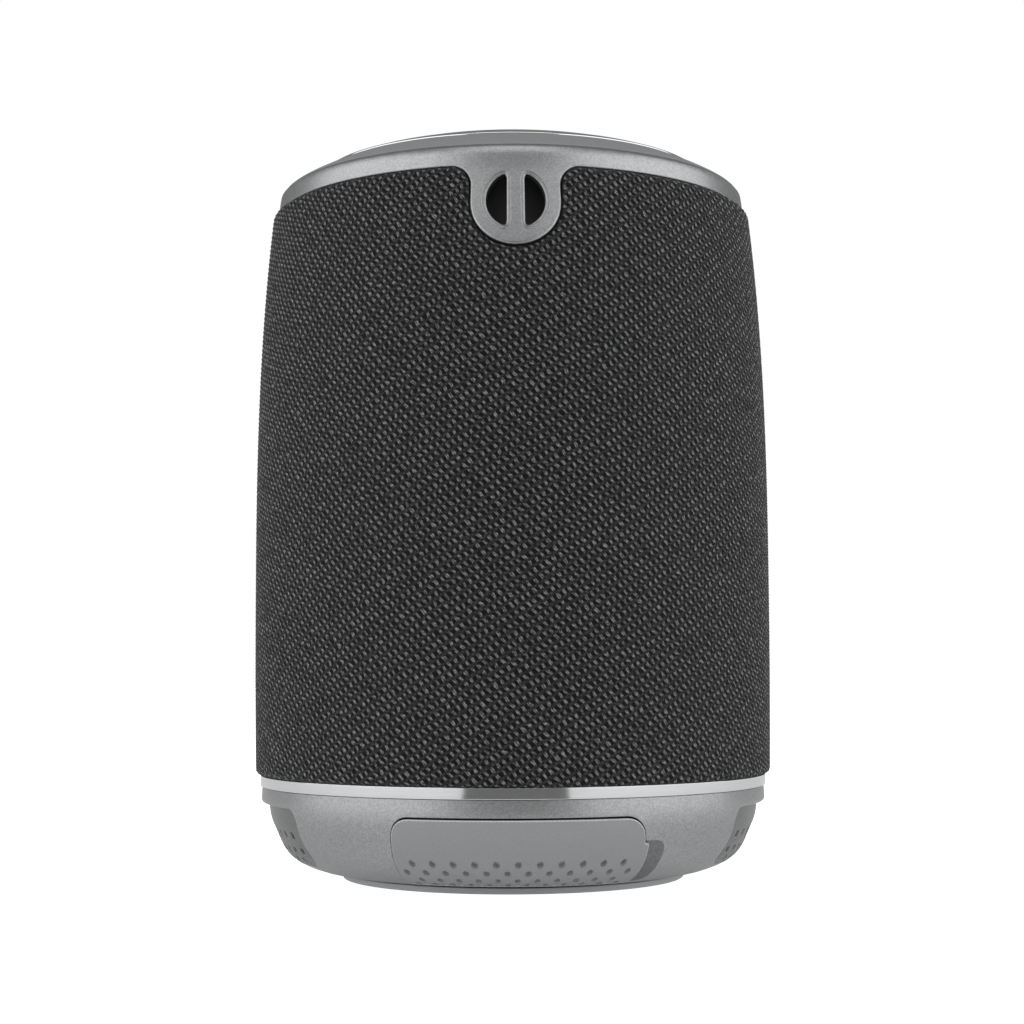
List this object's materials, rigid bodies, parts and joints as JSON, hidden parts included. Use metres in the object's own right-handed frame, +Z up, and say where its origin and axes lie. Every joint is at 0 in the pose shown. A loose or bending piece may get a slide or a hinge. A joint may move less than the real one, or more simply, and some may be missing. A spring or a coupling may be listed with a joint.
{
  "type": "smart speaker",
  "caption": "Round portable smart speaker with a fabric-covered body, metallic crown with a strap tab, control panel on top and a bowl-shaped base with a rubber socket flap.",
  "frame": {"origin": "middle of the rubber foot's underside", "axes": "+Z up; -Y is the back, with the strap tab and the socket flap; +X is to the right seen from the back"},
  "size_m": [0.0966, 0.0966, 0.1345],
  "materials": {
    "metallic_paint": "silver-grey metallic spray paint with fine flake on moulded ABS",
    "bright_trim": "turned aluminium ring, fine circular brushing, clear anodised",
    "sleeve_fabric": "dark grey polyester acoustic mesh, coarse open knit over black frame",
    "soft_grey": "mid-grey satin silicone rubber and soft-touch mouldings",
    "black_plastic": "black ABS, fine spark texture",
    "black_rubber": "black rubber, matt",
    "circuit_board": "green solder mask on glass fibre laminate",
    "zinc_steel": "zinc plated or tinned steel",
    "paper_cone": "black pressed paper and polypropylene",
    "magnet": "black coated ferrite and steel",
    "cell": "blue shrink wrap over a lithium cell",
    "ribbon": "white flexible flat cable",
    "light_diffuser": "milky translucent acrylic"
  },
  "bodies": {
    "housing": {"base_shell": "metallic_paint", "crown_frame": "metallic_paint", "base_trim_ring": "bright_trim", "top_trim_ring": "bright_trim", "fabric_sleeve": "sleeve_fabric", "flap_tether": "soft_grey", "side_vent_left": "soft_grey", "side_vent_right": "soft_grey", "soft_band": "soft_grey", "bottom_plate": "black_plastic", "port_panel": "black_plastic", "aux_jack": "black_plastic", "chassis": "black_plastic", "grille_frame": "black_plastic", "chamber": "black_plastic", "chamber_lid": "black_plastic", "battery_cradle": "black_plastic", "control_panel": "black_plastic", "foot_ring": "black_rubber", "chamber_gasket": "black_rubber", "driver_surround": "black_rubber", "radiator_surround_left": "black_rubber", "radiator_surround_right": "black_rubber", "main_board": "circuit_board", "control_board": "circuit_board", "usb_socket": "zinc_steel", "amplifier_shield": "zinc_steel", "wireless_module": "zinc_steel", "base_screw_1": "zinc_steel", "base_screw_2": "zinc_steel", "base_screw_3": "zinc_steel", "base_screw_4": "zinc_steel", "panel_screw_1": "zinc_steel", "panel_screw_2": "zinc_steel", "panel_screw_3": "zinc_steel", "microphone_1": "zinc_steel", "microphone_2": "zinc_steel", "play_switch": "zinc_steel", "volume_up_switch": "zinc_steel", "volume_down_switch": "zinc_steel", "action_switch": "zinc_steel", "microphone_mute_switch": "zinc_steel", "driver_spider": "paper_cone", "driver_basket": "magnet", "driver_magnet": "magnet", "battery_cell_1": "cell", "battery_cell_2": "cell", "control_ribbon": "ribbon", "light_ring": "light_diffuser"},
    "port_flap": {"port_flap": "soft_grey"},
    "driver_cone": {"driver_cone": "paper_cone", "driver_dust_cap": "paper_cone"},
    "radiator_plate_left": {"radiator_plate_left": "magnet"},
    "radiator_plate_right": {"radiator_plate_right": "magnet"},
    "play_button": {"play_button": "soft_grey"},
    "volume_up_button": {"volume_up_button": "soft_grey"},
    "volume_down_button": {"volume_down_button": "soft_grey"},
    "action_button": {"action_button": "soft_grey"},
    "microphone_mute_button": {"microphone_mute_button": "soft_grey"}
  },
  "joints": [
    {"name": "flap_hinge", "type": "hinge", "parent": "housing", "child": "port_flap", "pos_m": [-0.02155, -0.0421, 0.0098], "axis": [0, 0, -1], "range_deg": [0, 110]},
    {"name": "driver_excursion", "type": "slide", "parent": "housing", "child": "driver_cone", "axis": [0, 1, 0], "range_m": [-0.002, 0.002], "stiffness_N_per_m": 1500},
    {"name": "radiator_left_excursion", "type": "slide", "parent": "housing", "child": "radiator_plate_left", "axis": [-1, 0, 0], "range_m": [-0.003, 0.003], "stiffness_N_per_m": 900},
    {"name": "radiator_right_excursion", "type": "slide", "parent": "housing", "child": "radiator_plate_right", "axis": [1, 0, 0], "range_m": [-0.003, 0.003], "stiffness_N_per_m": 900},
    {"name": "play_press", "type": "slide", "parent": "housing", "child": "play_button", "axis": [0, 0, -1], "range_m": [0, 0.0006], "stiffness_N_per_m": 800},
    {"name": "volume_up_press", "type": "slide", "parent": "housing", "child": "volume_up_button", "axis": [0, 0, -1], "range_m": [0, 0.0006], "stiffness_N_per_m": 800},
    {"name": "volume_down_press", "type": "slide", "parent": "housing", "child": "volume_down_button", "axis": [0, 0, -1], "range_m": [0, 0.0006], "stiffness_N_per_m": 800},
    {"name": "action_press", "type": "slide", "parent": "housing", "child": "action_button", "axis": [0, 0, -1], "range_m": [0, 0.0006], "stiffness_N_per_m": 800},
    {"name": "microphone_mute_press", "type": "slide", "parent": "housing", "child": "microphone_mute_button", "axis": [0, 0, -1], "range_m": [0, 0.0006], "stiffness_N_per_m": 800}
  ]
}
